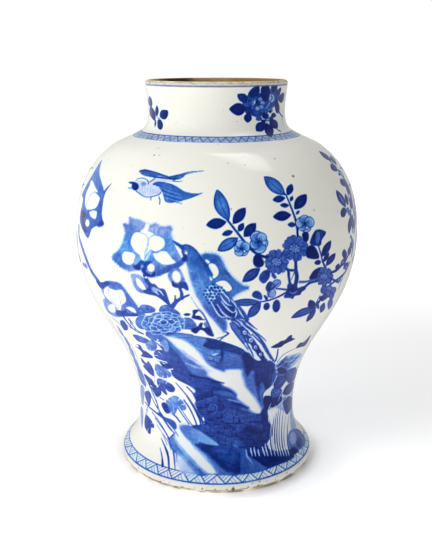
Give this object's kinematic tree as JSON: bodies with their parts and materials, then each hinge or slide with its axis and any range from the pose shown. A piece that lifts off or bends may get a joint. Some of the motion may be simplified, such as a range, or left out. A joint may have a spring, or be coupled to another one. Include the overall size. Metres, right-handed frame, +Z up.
{
  "type": "baluster vase",
  "caption": "Porcelain baluster vase with a spreading foot, waisted body, broad rounded shoulders and short upright neck, painted in blue under a clear glaze.",
  "frame": {"origin": "centre of the flat face of the foot ring, on the surface that the vase stands on", "axes": "+Z up along the turning axis, -Y towards the viewer of the picture, +X to that viewer's right"},
  "size_m": [0.2784, 0.2784, 0.385],
  "materials": {
    "biscuit_foot": "unglazed, with fine brown specks",
    "biscuit_base": "unglazed",
    "biscuit_body": "unglazed, covered by glaze",
    "biscuit_lip": "unglazed, stained brown inside",
    "slip": "dry slip",
    "outer_glaze": "clear gloss over cobalt blue painting on white",
    "inner_glaze": "clear gloss on white",
    "base_glaze": "clear gloss on white"
  },
  "bodies": {
    "root": {"foot_section": "biscuit_foot", "base_plate": "biscuit_base", "lower_body": "biscuit_body", "upper_body": "biscuit_body", "neck_and_lip": "biscuit_lip", "base_slip": "slip", "waist_slip": "slip", "belly_slip": "slip", "neck_slip": "slip", "outer_glaze": "outer_glaze", "inner_glaze": "inner_glaze", "base_glaze": "base_glaze"}
  },
  "joints": []
}
